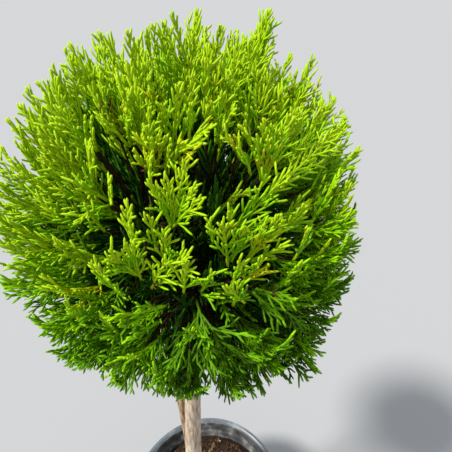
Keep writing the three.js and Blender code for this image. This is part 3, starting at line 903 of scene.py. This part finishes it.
def grow_twiglets(cords, draws, line, plane, body, tone, most):
    """Short cords by turns left and right of a long side cord."""
    count = int((line[2] - line[0]).length / TWIGLET_SPACING)
    longest, at_foot, less = TWIGLET_LENGTH
    for share, at, way, side in side_places(draws, line, plane, count, TWIGLETS_ALONG):
        out = leaning(way, side, SIDE_ANGLE + draws.spread(ANGLE_UNEVENNESS))
        reach = longest * (at_foot - less * share) * (1 + draws.spread(LENGTH_UNEVENNESS))
        tip = kept_inside(at, at + out * reach, most)
        if tip is None:
            continue
        elbow = at.lerp(tip, 0.5) - way * TWIGLET_BOW + side * TWIGLET_BOW
        # Some tips are a tone lighter: a painted highlight
        tip_tone = tone + (draws.next() < TIP_HIGHLIGHT_CHANCE)
        cords.add(at, elbow, tip, (CORD_RADIUS * TWIGLET_RADIUS, CORD_TIP_RADIUS), plane, body, tip_tone)


def grow_withered(cords, draws, place):
    """A withered sprig: a few short crooked brown cords from one place."""
    outward = (place - FOCUS).normalized()
    for _ in range(SPRIG_CORDS):
        start = place + stray(draws, SPRIG_ROOM)
        way = (outward * SPRIG_OUTWARDS + stray(draws, 1)).normalized()
        end = start + way * draws.above(*SPRIG_LENGTH)
        bend = start.lerp(end, 0.5) + stray(draws, SPRIG_BEND)
        cords.add(start, bend, end, SPRIG_RADII, way.orthogonal(), WITHERED, WITHERED)


def nearest_on(lines, place):
    """The point on the sprays' axes that is nearest to a place."""
    points = [bezier(*line, share) for line in lines for share in (0.3, 0.45, 0.6, 0.75)]
    return min(points, key=lambda point: (point - place).length)


def stands_before(place, target, room, depth):
    """Whether a place lies between the viewer and a target, or up to a depth behind it."""
    viewer = Vector(CAMERA_AT) / MM
    sight = place - viewer
    to = target - viewer
    beside = (to - sight.normalized() * to.dot(sight.normalized())).length
    return beside < room and sight.length < to.length + depth


def hides_hollow(line):
    """Whether a spray's axis would cross one of the dark hollows."""
    places = [bezier(*line, share) for share in (0.4, 0.6, 0.8, 1)]
    for *hollow, radius in HOLLOWS:
        target = CROWN_CENTRE + Vector(hollow)
        if any(stands_before(place, target, radius, HOLLOW_DEPTH) for place in places):
            return True
    return False


def hides_fan(tip):
    """Whether a spray's tip would stand before one of the fans at the front."""
    for foot, end in FRONT_FANS:
        for share in (0.35, 0.6, 0.85):
            target = CROWN_CENTRE + Vector(foot).lerp(Vector(end), share)
            if stands_before(tip, target, FAN_ROOM, FAN_DEPTH):
                return True
    return False


def clear_of_limbs(cords, limbs):
    """Drops each cord that comes too near the trunk or the second stem."""
    table = np.array(cords.rows)
    centres = np.concatenate([points for points, _ in limbs])
    radii = np.concatenate([radii for _, radii in limbs])
    keep = np.ones(len(table), bool)
    bend_column, end_column, lot = 3, 6, 4000
    for column in (bend_column, end_column):
        for begin in range(0, len(table), lot):
            part = table[begin : begin + lot, column : column + 3]
            gaps = np.linalg.norm(part[:, None] - centres[None], axis=2) - radii[None]
            keep[begin : begin + lot] &= gaps.min(axis=1) > LIMB_ROOM
    cords.rows = [row for row, kept in zip(cords.rows, keep) if kept]


def branch_leaders(tips):
    """Some of a mass's tips, each well away from the others: the sprays that end a branch."""
    leaders = []
    for tip in tips:
        if all((tip - other).length > LEADER_SPACING for other in leaders):
            leaders.append(tip)
    return leaders


def grow_fan(mass, draws, cords, brown, root, tip, habit):
    """A fan on a brown twig from its mass's core. Gives back the line of its axis."""
    bend = root.lerp(tip, 0.5) + (tip - FOCUS).normalized() * FAN_BULGE
    grow_plume(cords, draws, (root, bend, tip), False, habit)
    turn = FOCUS + (root - FOCUS) * FAN_TWIG_BEND
    brown.add(mass["core"], turn, root.lerp(tip, TWIG_OVERLAP), THIN_TWIG_RADII, mass["to"].orthogonal())
    return root, bend, tip


def grow_spray(mass, draws, cords, brown, branches, tip, inner):
    """A spray on a twig from the nearest branch. Gives back the line of its axis, or None at a hollow."""
    near = FOCUS + (tip - FOCUS) * TWIG_AIM[inner]
    bend, end = min(branches, key=lambda branch: (branch[1] - tip).length)
    share = INNER_JOINT if inner else draws.above(*OUTER_JOINT)
    joint = bezier(mass["foot"], bend, end, share)
    turn = joint.lerp(near, TWIG_TURN)
    root, bend = plume_line(draws, turn, tip)
    if not inner and hides_hollow((root, bend, tip)):
        return None
    grow_plume(cords, draws, (root, bend, tip), inner, PLUME_HABIT)
    brown.add(joint, turn, root.lerp(tip, TWIG_OVERLAP), TWIG_RADII, mass["to"].orthogonal())
    return root, bend, tip


def grow_mass(mass, draws, extra_draws, limbs):
    """The cords and the brown twigs of one mass, with a branch to each leader."""
    outer, inner, brown = Cords(), Cords(), Cords()
    foot = mass["foot"]
    across = mass["to"].orthogonal()
    branches, lines = [], []
    for tip in branch_leaders([tip for tip, is_inner in mass["tips"] if not is_inner]):
        end = FOCUS + (tip - FOCUS) * BRANCH_END
        bend = mass["core"].lerp(end, BRANCH_BEND)
        brown.add(foot, bend, end, BRANCH_RADII, across)
        branches.append((bend, end))
    for tip, is_inner in mass["tips"]:
        line = grow_spray(mass, draws, inner if is_inner else outer, brown, branches, tip, is_inner)
        if line and not is_inner:
            lines.append(line)
    for fan in mass["fans"]:
        lines.append(grow_fan(mass, draws, outer, brown, *fan))
    for place in mass["sprigs"]:
        grow_withered(outer, draws, nearest_on(lines, place))
    for fan in mass["extras"]:
        grow_fan(mass, extra_draws, outer, brown, *fan)
    # Backing sprays, dark with painted shade
    for tip in mass["backing"]:
        root, bend = plume_line(extra_draws, foot, tip)
        grow_plume(inner, extra_draws, (root, bend, tip), True, PLUME_HABIT)
        brown.add(foot, root, root.lerp(tip, TWIG_OVERLAP), THIN_TWIG_RADII, across)
    clear_of_limbs(outer, limbs)
    clear_of_limbs(inner, limbs)
    return outer, inner, brown


def deal_out(masses, draws, extra_draws):
    """Gives each mass the tips, fans and sprigs that lie in its own cell."""
    outer, inner = spray_tips(draws)
    for tips, is_inner in ((outer, False), (inner, True)):
        for tip in tips:
            if is_inner or not hides_fan(tip):
                nearest_mass(masses, tip)["tips"].append((tip, is_inner))
    for sprig in WITHERED_SPRIGS:
        place = CROWN_CENTRE + Vector(sprig) * SPRIG_DEPTH
        nearest_mass(masses, place)["sprigs"].append(place)
    fans = [("fans", FAN_HABIT, fan) for fan in FRONT_FANS]
    fans += [("extras", GOLDEN_HABIT, fan) for fan in GOLDEN_FANS]
    fans += [("extras", FAN_HABIT, fan) for fan in LOW_FANS]
    for kind, habit, fan in fans:
        root, tip = (CROWN_CENTRE + Vector(place) for place in fan)
        if (Vector(fan[0]) - GOLDEN_FOOT).length < GOLDEN_ROOM:
            habit = GOLDEN_HABIT
        nearest_mass(masses, tip)[kind].append((root, tip, habit))
    for *hollow, _ in HOLLOWS:
        for _ in range(BACKING_COUNT):
            place = CROWN_CENTRE + Vector(hollow) * BACKING_SHARE + stray(extra_draws, BACKING_ROOM)
            nearest_mass(masses, place)["backing"].append(place)


def build_crown(masses, limbs, twig_bark):
    """The sprays and twigs of each mass."""
    draws, extra_draws = Draws(CROWN_SEED), Draws(EXTRA_SEED)
    mass_directions(draws)
    deal_out(masses, draws, extra_draws)
    greens = foliage_materials()
    for mass in masses:
        outer, inner, brown = grow_mass(mass, draws, extra_draws, limbs)
        name = mass["name"]
        arrays = joined([outer.arrays(BEAD_PITCH), inner.arrays(INNER_PITCH)])
        sprays = make_object(f"sprays_{name}", mesh_from_arrays("sprays", *arrays), greens)
        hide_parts(f"foliage_{name}")
        points, triangles, _ = brown.arrays(TWIG_PITCH)
        make_object(f"twigs_{name}", mesh_from_arrays("twigs", points, triangles), [twig_bark])


# Limbs with bark


def bark_relief(seed, depth):
    """Long flakes and shallow furrows along a limb."""

    def relief(angle, run, radius, point):
        around = Vector((math.cos(angle) * 2.2, math.sin(angle) * 2.2, run * 0.028 + seed))
        flakes = noise.noise(around * 1.3)
        furrows = abs(noise.noise(Vector((around.x * 2.4, around.y * 2.4, around.z * 0.9 + 7))))
        fine = noise.noise(Vector((around.x * 6, around.y * 6, run * 0.16 + seed)))
        return depth * radius * (0.55 * flakes - 0.9 * max(0, 0.28 - furrows) * 2.2 + 0.22 * fine)

    return relief


def flared(relief):
    """The trunk's relief with the flare at its foot."""

    def with_flare(angle, run, radius, point):
        flare = max(0, 1 - (point[2] - TRUNK_FOOT) / ROOT_FLARE_HEIGHT)
        lobes = 0.6 + 0.4 * math.cos(3 * angle + 0.7)
        return relief(angle, run, radius, point) + ROOT_FLARE * flare * flare * lobes

    return with_flare


def path_to_foot(path, mass, radius):
    return [*path, (*mass["foot"], radius)]


def bough_line(mass, index):
    """Points and radii of a bough, from the trunk to its mass's foot and on into its core."""
    to_foot, in_core = BOUGH_RINGS
    rise = (mass["foot"].z - FOCUS.z) - BOUGH_RISE + (BOUGH_STAGGER if index % 2 else -BOUGH_STAGGER)
    start, end = FOCUS + Vector((0, 0, rise)), mass["foot"]
    bend = end - mass["to"] * BOUGH_BEND * FOOT_DISTANCE
    line = [bezier(start, bend, end, t) for t in np.linspace(0, 1, to_foot)]
    line += [end.lerp(mass["core"], t) for t in np.linspace(*BOUGH_IN_CORE, in_core)]
    radii = np.interp(np.arange(len(line)), [0, to_foot - 1, len(line) - 1], BOUGH_RADII)
    return np.array([tuple(point) for point in line]), radii


def build_limbs(masses, twig_bark):
    """Bark for the trunk, the second stem and the boughs. Gives back the lines of the first two."""
    pale_bark = bark_material("bark", TRUNK_COLOURS)
    brown_bark = bark_material("brown_bark", STEM_COLOURS)
    top = masses[0]
    stem_mass = next(mass for mass in masses if mass["name"] == STEM_MASS)

    trunk_points, trunk_radii = catmull(path_to_foot(TRUNK_PATH, top, TRUNK_TIP_RADIUS), TRUNK_RINGS)
    trunk_points[0][2] = TRUNK_FOOT
    relief = flared(bark_relief(*TRUNK_RELIEF))
    mesh = limb_mesh("trunk_bark", trunk_points, trunk_radii, TRUNK_SIDES, relief)
    trunk = make_object("trunk_bark", mesh, [pale_bark])
    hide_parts("trunk")

    stem_points, stem_radii = catmull(path_to_foot(STEM_PATH, stem_mass, STEM_TIP_RADIUS), STEM_RINGS)
    mesh = limb_mesh("second_stem_bark", stem_points, stem_radii, STEM_SIDES, bark_relief(*STEM_RELIEF))
    stem = make_object("second_stem_bark", mesh, [brown_bark])
    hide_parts("second_stem")

    seed_step, depth = BOUGH_RELIEF
    for index, mass in enumerate(masses):
        if mass in (top, stem_mass):
            continue
        relief = bark_relief(index * seed_step, depth)
        mesh = limb_mesh("bough_bark", *bough_line(mass, index), BOUGH_SIDES, relief)
        bough = make_object(f"bough_bark_{mass['name']}", mesh, [twig_bark])
        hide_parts(f"bough_{mass['name']}")
    return [(trunk_points, trunk_radii), (stem_points, stem_radii)]


# Pot and compost


def turned_mesh(name, profile, sides):
    """A closed solid of revolution from a profile of (radius, height) that starts and ends on the axis."""
    made = bmesh.new()
    rings = []
    for radius, height in profile:
        if radius == 0:
            rings.append([made.verts.new((0, 0, height * MM))])
            continue
        places = [on_circle(radius, i, sides) for i in range(sides)]
        rings.append([made.verts.new((x * MM, y * MM, height * MM)) for x, y in places])
    for low, high in zip(rings, rings[1:]):
        for i in range(sides):
            j = (i + 1) % sides
            corners = [low[i % len(low)], low[j % len(low)], high[j % len(high)], high[i % len(high)]]
            made.faces.new(dict.fromkeys(corners)).smooth = True
    bmesh.ops.recalc_face_normals(made, faces=made.faces)
    mesh = bpy.data.meshes.new(name)
    made.to_mesh(mesh)
    made.free()
    return mesh


def rounded(points, radius, steps=4):
    """A profile with each inner corner rounded off."""
    out = [points[0]]
    for before, here, after in zip(points, points[1:], points[2:]):
        b, h, a = Vector(before), Vector(here), Vector(after)
        cut = min(radius, (b - h).length * 0.45, (a - h).length * 0.45)
        start = h + (b - h).normalized() * cut
        end = h + (a - h).normalized() * cut
        out += [tuple(bezier(start, h, end, t)) for t in np.linspace(0, 1, steps)]
    out.append(points[-1])
    return out


def build_pot():
    top = POT_HEIGHT
    collar_foot = top - COLLAR_HEIGHT
    wall_top = COLLAR_RADIUS - COLLAR_STEP
    lip_inner = POT_RIM_RADIUS - LIP_THICKNESS
    under_lip = top - LIP_THICKNESS * 2
    profile = [
        (0, 0),
        (POT_BASE_RADIUS - BASE_CHAMFER, 0),
        (POT_BASE_RADIUS, BASE_CHAMFER),
        (wall_top, collar_foot),
        (COLLAR_RADIUS, collar_foot + COLLAR_STEP),
        (COLLAR_RADIUS, under_lip),
        (lip_inner, under_lip),
        (lip_inner, top - LIP_DROP),
        (POT_RIM_RADIUS, top - LIP_DROP),
        (POT_RIM_RADIUS, top - LIP_ROUNDING),
        (POT_RIM_RADIUS - LIP_ROUNDING, top),
        (POT_RIM_RADIUS - LIP_TOP, top),
        (COLLAR_RADIUS - POT_WALL, top - LIP_ROUNDING * 2),
        (COLLAR_RADIUS - POT_WALL, collar_foot + COLLAR_STEP + POT_WALL),
        (wall_top - POT_WALL, collar_foot),
        (POT_BASE_RADIUS - POT_WALL, POT_FLOOR),
        (0, POT_FLOOR),
    ]
    mesh = turned_mesh("pot_shell", rounded(profile, POT_ROUNDING), POT_SIDES)
    body = pot_material("pot_plastic", POT_COLOURS, 0.45)
    lip = pot_material("pot_lip_wear_and_sheen", LIP_WEAR_AND_SHEEN_COLOURS, 0.34)
    inside = pot_material("pot_inside", INSIDE_COLOURS, 0.8, scale=60, upright=1)
    pot = make_object("pot_shell", mesh, [body, lip, inside])
    for face in mesh.polygons:
        across = math.hypot(face.center.x, face.center.y)
        # The rolled lip takes its own colours: wear and a painted reflection of the sky
        if face.center.z > (top - LIP_DROP - 1) * MM and across > (COLLAR_RADIUS - 1) * MM:
            face.material_index = 1
        elif face.normal.x * face.center.x + face.normal.y * face.center.y < 0:
            face.material_index = 2
    cut_drains(pot)
    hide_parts("pot")


def cut_drains(pot):
    """The ring of round holes through the pot's floor."""
    made = bmesh.new()
    size, depth = DRAIN_RADIUS * MM, POT_FLOOR * 4 * MM
    for i in range(DRAIN_COUNT):
        to = Vector((*on_circle(1, i + 0.5, DRAIN_COUNT), 0))
        place = Matrix.Translation(to * DRAIN_CIRCLE * MM)
        bmesh.ops.create_cone(
            made, cap_ends=True, segments=32, radius1=size, radius2=size, depth=depth, matrix=place
        )
    mesh = bpy.data.meshes.new("drains")
    made.to_mesh(mesh)
    made.free()
    cutter = new_object("drains", mesh)
    cut = pot.modifiers.new("drains", "BOOLEAN")
    cut.operation = "DIFFERENCE"
    cut.solver = "EXACT"
    cut.object = cutter
    bpy.context.view_layer.update()
    whole = pot.evaluated_get(bpy.context.evaluated_depsgraph_get())
    pot.data = bpy.data.meshes.new_from_object(whole)
    pot.modifiers.clear()
    bpy.data.objects.remove(cutter)


def soil_height(x, y):
    """The height of the compost: level round the trunk, heaped round that, and sunk a little at the wall."""
    distance = math.hypot(x, y)
    rise = min(1, max(0, (distance - SOIL_FLAT) / HEAP_RISE))
    fall = min(1, max(0, (SOIL_EDGE - distance) / HEAP_FALL))
    rough = 0
    for height, waves, place in SOIL_ROUGHNESS:
        rough += height * noise.noise(Vector((x * waves, y * waves, place)))
    sink = WALL_SINK if distance > WALL_SINK_FROM else 0
    return SOIL_LEVEL + HEAP_HEIGHT * rise * fall + rough - sink


def build_soil():
    """Compost with a crumbly top and a plain underside."""
    corners, faces = [], []
    for k in range(SOIL_RINGS):
        radius = SOIL_RADIUS * (k / (SOIL_RINGS - 1)) ** 0.9
        for j in range(SOIL_SIDES):
            x, y = on_circle(radius, j, SOIL_SIDES)
            corners.append((x, y, soil_height(x, y)))
    low = POT_FLOOR + CLEARANCE
    inside = POT_BASE_RADIUS - POT_WALL - CLEARANCE
    corners += [(*on_circle(inside, j, SOIL_SIDES), low) for j in range(SOIL_SIDES)]
    corners.append((0, 0, low))
    rim, foot, middle = (SOIL_RINGS - 1) * SOIL_SIDES, SOIL_RINGS * SOIL_SIDES, len(corners) - 1
    for k in range(SOIL_RINGS - 1):
        for j in range(SOIL_SIDES):
            a, b = k * SOIL_SIDES + j, k * SOIL_SIDES + (j + 1) % SOIL_SIDES
            faces += [(a, a + SOIL_SIDES, b + SOIL_SIDES), (a, b + SOIL_SIDES, b)]
    for j in range(SOIL_SIDES):
        i = (j + 1) % SOIL_SIDES
        faces += [(rim + j, foot + j, foot + i), (rim + j, foot + i, rim + i)]
        faces.append((foot + j, middle, foot + i))
    mesh = mesh_from_arrays("compost", np.array(corners), np.array(faces))
    # Dark moist compost, darkened further as painted shade: the crown's shadow over it
    compost = soil_material("compost", (0.009, 0.005, 0.003), (0.038, 0.022, 0.013))
    soil = make_object("compost", mesh, [compost])
    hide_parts("soil")


def turned(points, angle):
    """Points turned about the upright axis."""
    c, s = math.cos(angle), math.sin(angle)
    return points @ np.array([[c, s, 0], [-s, c, 0], [0, 0, 1]])


def lump(kind, draws):
    """Corners and triangles of one small lump: a ball of triangles, stretched and pulled out of shape."""
    stretch, unevenness, subdivisions = LUMPS[kind]
    made = bmesh.new()
    bmesh.ops.create_icosphere(made, subdivisions=subdivisions, radius=1)
    seed = Vector((draws.next() * 90, 0, 0))
    points = []
    for vert in made.verts:
        size = 1 + unevenness * noise.noise(vert.co * 1.4 + seed)
        points.append([c * s * size for c, s in zip(vert.co, stretch)])
    triangles = [[v.index for v in face.verts] for face in made.faces]
    made.free()
    turn, tilt = draws.next() * 2 * math.pi, draws.spread(LUMP_TILT)
    c, s = math.cos(tilt), math.sin(tilt)
    tilted = np.array(points) @ np.array([[c, 0, s], [0, 1, 0], [-s, 0, c]])
    return turned(tilted, turn), np.array(triangles)


def scatter(name, kind, count, sizes, materials, draws):
    """Many small lumps lying on the compost, as one mesh."""
    shapes = [lump(kind, draws) for _ in range(LUMP_SHAPES)]
    longest = LUMPS["chip"][0][0]
    lots = []
    while len(lots) < count:
        radius = LITTER_RADIUS * math.sqrt(draws.next())
        angle = draws.next() * 2 * math.pi
        x, y = radius * math.cos(angle), radius * math.sin(angle)
        size = sizes[0] + (sizes[1] - sizes[0]) * draws.next() ** 2
        near_trunk = math.hypot(x - TRUNK_PATH[0][0], y) < TRUNK_ROOM + size
        if near_trunk or radius + size * longest > SOIL_EDGE:
            draws.next()
            continue
        shape, faces = shapes[int(draws.next() * LUMP_SHAPES)]
        points = turned(shape, draws.next() * 2 * math.pi) * size + [x, y, soil_height(x, y) + size * 0.2]
        lots.append((points, faces, np.full(len(faces), int(draws.next() * len(materials)))))
    mesh = mesh_from_arrays(name, *joined(lots), smooth=kind == "stone")
    make_object(name, mesh, materials)


def build_litter():
    """Crumbs, bark chips and small stones."""
    draws = Draws(LITTER_SEED)
    # The crumbs are darkened the same way, as painted shade of the crown's shadow
    crumbs = [
        soil_material("crumb_dark", (0.009, 0.005, 0.003), (0.030, 0.017, 0.010)),
        soil_material("crumb_brown", (0.026, 0.013, 0.007), (0.080, 0.044, 0.024)),
        soil_material("crumb_tan", (0.060, 0.034, 0.018), (0.17, 0.105, 0.062)),
    ]
    stones = [
        soil_material("stone_pale", (0.22, 0.18, 0.15), (0.42, 0.36, 0.30)),
        soil_material("stone_pink", (0.22, 0.13, 0.095), (0.40, 0.26, 0.20)),
    ]
    scatter("crumbs", "crumb", 1500, (0.9, 3.4), crumbs, draws)
    scatter("bark_chips", "chip", 170, (2.2, 5.5), crumbs[1:], draws)
    scatter("small_stones", "stone", 34, (1.6, 4.2), stones, draws)


# Stage


def build_floor():
    bpy.ops.mesh.primitive_plane_add(size=FLOOR_SIZE)
    floor = bpy.context.object
    floor.name = "floor"
    floor.data.materials.append(new_material("floor", FLOOR_COLOUR, 1, 0)[0])


def build_camera():
    lens = bpy.data.cameras.new("camera")
    lens.lens = CAMERA_LENS
    lens.clip_start = 0.01
    camera = new_object("camera", lens)
    camera.location = CAMERA_AT
    camera.rotation_euler = (math.radians(90 - CAMERA_DOWN), 0, 0)
    bpy.context.scene.camera = camera


def build_light():
    for name, (turn, energy, colour, width) in LAMPS.items():
        lamp = bpy.data.lights.new(name, "SUN")
        lamp.energy = energy
        lamp.color = colour
        lamp.angle = math.radians(width)
        new_object(name, lamp).rotation_euler = [math.radians(angle) for angle in turn]
    world = bpy.data.worlds.new("world")
    world.use_nodes = True
    background = world.node_tree.nodes["Background"]
    background.inputs["Color"].default_value = (*SKY_COLOUR, 1)
    background.inputs["Strength"].default_value = SKY_STRENGTH
    bpy.context.scene.world = world
    bpy.context.scene.view_settings.view_transform = "Standard"


masses = mass_directions(Draws(CROWN_SEED))
twig_bark = twig_material()
limbs = build_limbs(masses, twig_bark)
build_crown(masses, limbs, twig_bark)
build_pot()
build_soil()
build_litter()
build_floor()
build_camera()
build_light()
